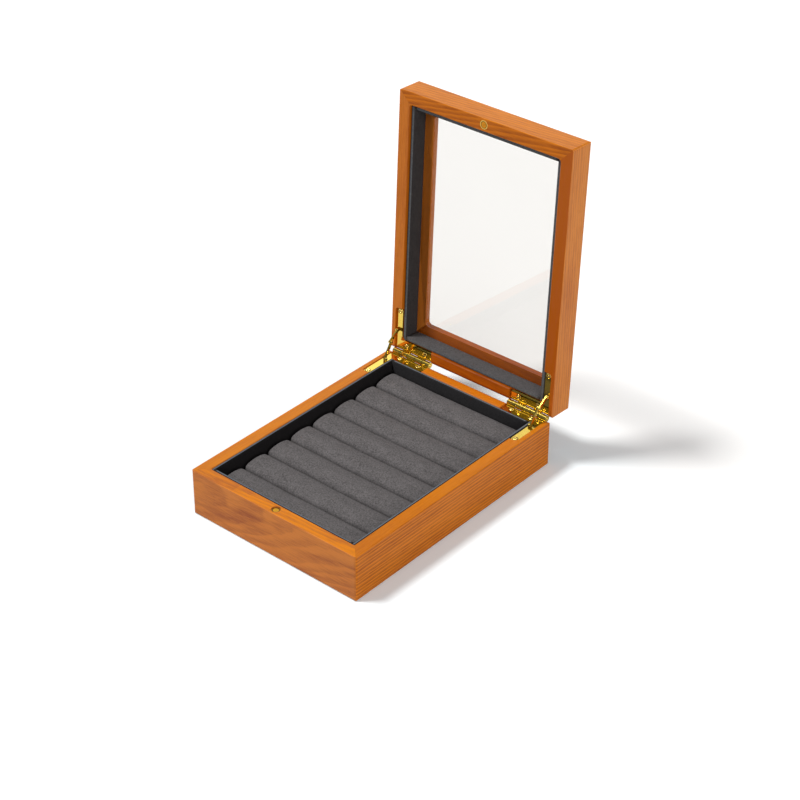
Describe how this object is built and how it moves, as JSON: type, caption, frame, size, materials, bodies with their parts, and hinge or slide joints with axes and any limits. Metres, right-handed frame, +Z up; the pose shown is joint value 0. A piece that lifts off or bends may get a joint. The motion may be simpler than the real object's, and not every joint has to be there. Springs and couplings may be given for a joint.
{
  "type": "jewelry box",
  "caption": "Small wooden box with a glazed lid on folding stay hinges, lined in dark suede and filled with padded rolls for rings.",
  "frame": {"origin": "middle of the base's underside, on the surface that the box stands on", "axes": "+X to the right along the front edge, +Y to the back where the hinges are, +Z up; the lid stands open at rest"},
  "size_m": [0.13, 0.207, 0.2121],
  "materials": {
    "wood": "satin",
    "panel": "matte",
    "lining": "matte",
    "board": "matte",
    "padding": "matte",
    "glass": "clear",
    "hinge": "polished",
    "screws": "polished",
    "magnet": "satin"
  },
  "bodies": {
    "base": {"base_front_wall": "wood", "base_back_wall": "wood", "base_left_wall": "wood", "base_right_wall": "wood", "base_bottom_panel": "panel", "base_front_liner": "lining", "base_back_liner": "lining", "base_left_liner": "lining", "base_right_liner": "lining", "roll_board": "board", "padded_roll_1": "padding", "padded_roll_2": "padding", "padded_roll_3": "padding", "padded_roll_4": "padding", "padded_roll_5": "padding", "padded_roll_6": "padding", "padded_roll_7": "padding", "padded_roll_8": "padding", "base_magnet": "magnet", "left_hinge_base_leaf": "hinge", "left_hinge_base_screws": "screws", "left_hinge_pin": "hinge", "left_stay_base_rivet": "hinge", "right_hinge_base_leaf": "hinge", "right_hinge_base_screws": "screws", "right_hinge_pin": "hinge", "right_stay_base_rivet": "hinge"},
    "lid": {"lid_front_rail": "wood", "lid_back_rail": "wood", "lid_left_rail": "wood", "lid_right_rail": "wood", "lid_glass_pane": "glass", "lid_front_liner": "lining", "lid_back_liner": "lining", "lid_left_liner": "lining", "lid_right_liner": "lining", "lid_magnet": "magnet", "left_hinge_lid_leaf": "hinge", "left_hinge_lid_screws": "screws", "left_stay_lid_rivet": "hinge", "right_hinge_lid_leaf": "hinge", "right_hinge_lid_screws": "screws", "right_stay_lid_rivet": "hinge"},
    "left_lower_link": {"left_stay_lower_link": "hinge", "left_stay_knee_rivet": "hinge"},
    "left_upper_link": {"left_stay_upper_link": "hinge", "left_stay_knee_tail": "hinge"},
    "right_lower_link": {"right_stay_lower_link": "hinge", "right_stay_knee_rivet": "hinge"},
    "right_upper_link": {"right_stay_upper_link": "hinge", "right_stay_knee_tail": "hinge"}
  },
  "joints": [
    {"name": "lid_hinge", "type": "hinge", "parent": "base", "child": "lid", "pos_m": [0, 0.0906, 0.0317], "axis": [1, 0, 0], "range_deg": [0, 92.6]},
    {"name": "left_lower_stay", "type": "hinge", "parent": "base", "child": "left_lower_link", "pos_m": [0, 0.0776, 0.0321], "axis": [1, 0, 0], "range_deg": [0, 124.35]},
    {"name": "left_upper_stay", "type": "hinge", "parent": "lid", "child": "left_upper_link", "pos_m": [0, 0.09168, 0.04667], "axis": [1, 0, 0], "range_deg": [-126.79, 0]},
    {"name": "right_lower_stay", "type": "hinge", "parent": "base", "child": "right_lower_link", "pos_m": [0, 0.0776, 0.0321], "axis": [1, 0, 0], "range_deg": [0, 124.35]},
    {"name": "right_upper_stay", "type": "hinge", "parent": "lid", "child": "right_upper_link", "pos_m": [0, 0.09168, 0.04667], "axis": [1, 0, 0], "range_deg": [-126.79, 0]}
  ],
  "couplings": [
    {"joint": "left_lower_stay", "follows": "lid_hinge", "ratio": 1.3429},
    {"joint": "left_upper_stay", "follows": "lid_hinge", "ratio": -1.3693},
    {"joint": "right_lower_stay", "follows": "lid_hinge", "ratio": 1.3429},
    {"joint": "right_upper_stay", "follows": "lid_hinge", "ratio": -1.3693}
  ]
}
